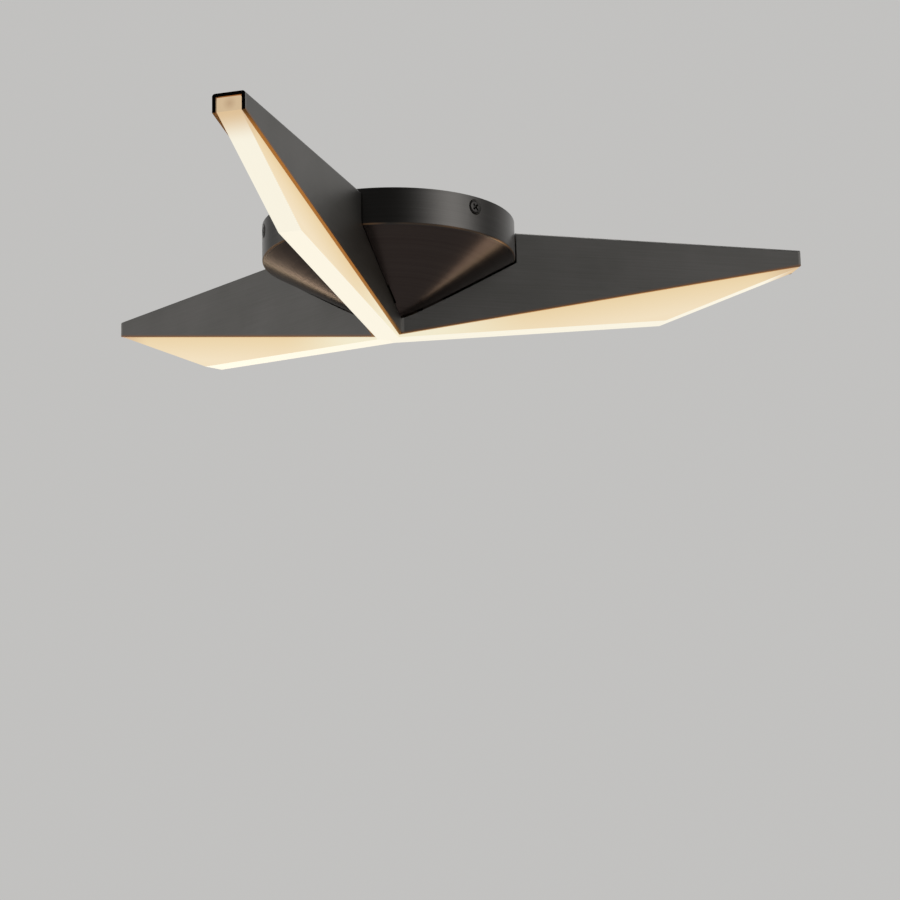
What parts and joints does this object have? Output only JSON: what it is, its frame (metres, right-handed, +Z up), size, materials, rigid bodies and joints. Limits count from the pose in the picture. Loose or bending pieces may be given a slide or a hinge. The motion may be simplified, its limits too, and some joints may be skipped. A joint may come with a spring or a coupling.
{
  "type": "flush mount ceiling light",
  "caption": "Flush mount ceiling light: round bronze canopy with slim tapering arms in a star, each holding a lit frosted acrylic blade with a bent lower edge.",
  "frame": {"origin": "centre of the canopy on the ceiling plane, midway between the two ceiling box screw slots", "axes": "+Z up into the ceiling, +X along arm 1; the other two arms are 120 and 240 degrees on about +Z"},
  "size_m": [0.3918, 0.4524, 0.0698],
  "materials": {
    "dark_bronze": "brushed dark bronze plating under clear lacquer",
    "black_steel": "blackened steel, satin",
    "zinc_steel": "bright zinc plated",
    "green_steel": "green dyed zinc",
    "aluminium": "mill finish",
    "frosted_acrylic": "frosted opal, lit warm white",
    "white_board": "white solder mask",
    "led_phosphor": "yellow phosphor gel",
    "white_polycarbonate": "fine moulded texture",
    "grey_nylon": "moulded",
    "lead_pvc": "smooth PVC",
    "black_rubber": "moulded"
  },
  "bodies": {
    "light": {"canopy_shell": "dark_bronze", "arm_channel_1": "dark_bronze", "arm_channel_2": "dark_bronze", "arm_channel_3": "dark_bronze", "mounting_bracket": "zinc_steel", "hub_plate": "zinc_steel", "arm_screws": "zinc_steel", "arm_nuts": "zinc_steel", "tray_screws": "zinc_steel", "tray_nuts": "zinc_steel", "driver_screws": "zinc_steel", "driver_spacers": "zinc_steel", "ground_screw": "green_steel", "led_tray_1": "aluminium", "led_tray_2": "aluminium", "led_tray_3": "aluminium", "tray_rivets": "aluminium", "diffuser_1": "frosted_acrylic", "diffuser_2": "frosted_acrylic", "diffuser_3": "frosted_acrylic", "led_board_1": "white_board", "led_board_2": "white_board", "led_board_3": "white_board", "leds_1": "led_phosphor", "leds_2": "led_phosphor", "leds_3": "led_phosphor", "driver_case": "white_polycarbonate", "driver_lid": "white_polycarbonate", "driver_input": "grey_nylon", "driver_output": "grey_nylon", "led_lead_1": "lead_pvc", "led_lead_2": "lead_pvc", "led_lead_3": "lead_pvc", "lead_grommets": "black_rubber"},
    "canopy_screw_1": {"canopy_screw_1": "black_steel"},
    "canopy_screw_2": {"canopy_screw_2": "black_steel"},
    "canopy_screw_3": {"canopy_screw_3": "black_steel"}
  },
  "joints": [
    {"name": "canopy_screw_1_turn", "type": "hinge", "parent": "light", "child": "canopy_screw_1", "pos_m": [0.0375, 0.06495, -0.0063], "axis": [0.5, 0.866, 0], "continuous": true},
    {"name": "canopy_screw_2_turn", "type": "hinge", "parent": "light", "child": "canopy_screw_2", "pos_m": [-0.075, 0, -0.0063], "axis": [-1, 0, 0], "continuous": true},
    {"name": "canopy_screw_3_turn", "type": "hinge", "parent": "light", "child": "canopy_screw_3", "pos_m": [0.0375, -0.06495, -0.0063], "axis": [0.5, -0.866, 0], "continuous": true}
  ]
}
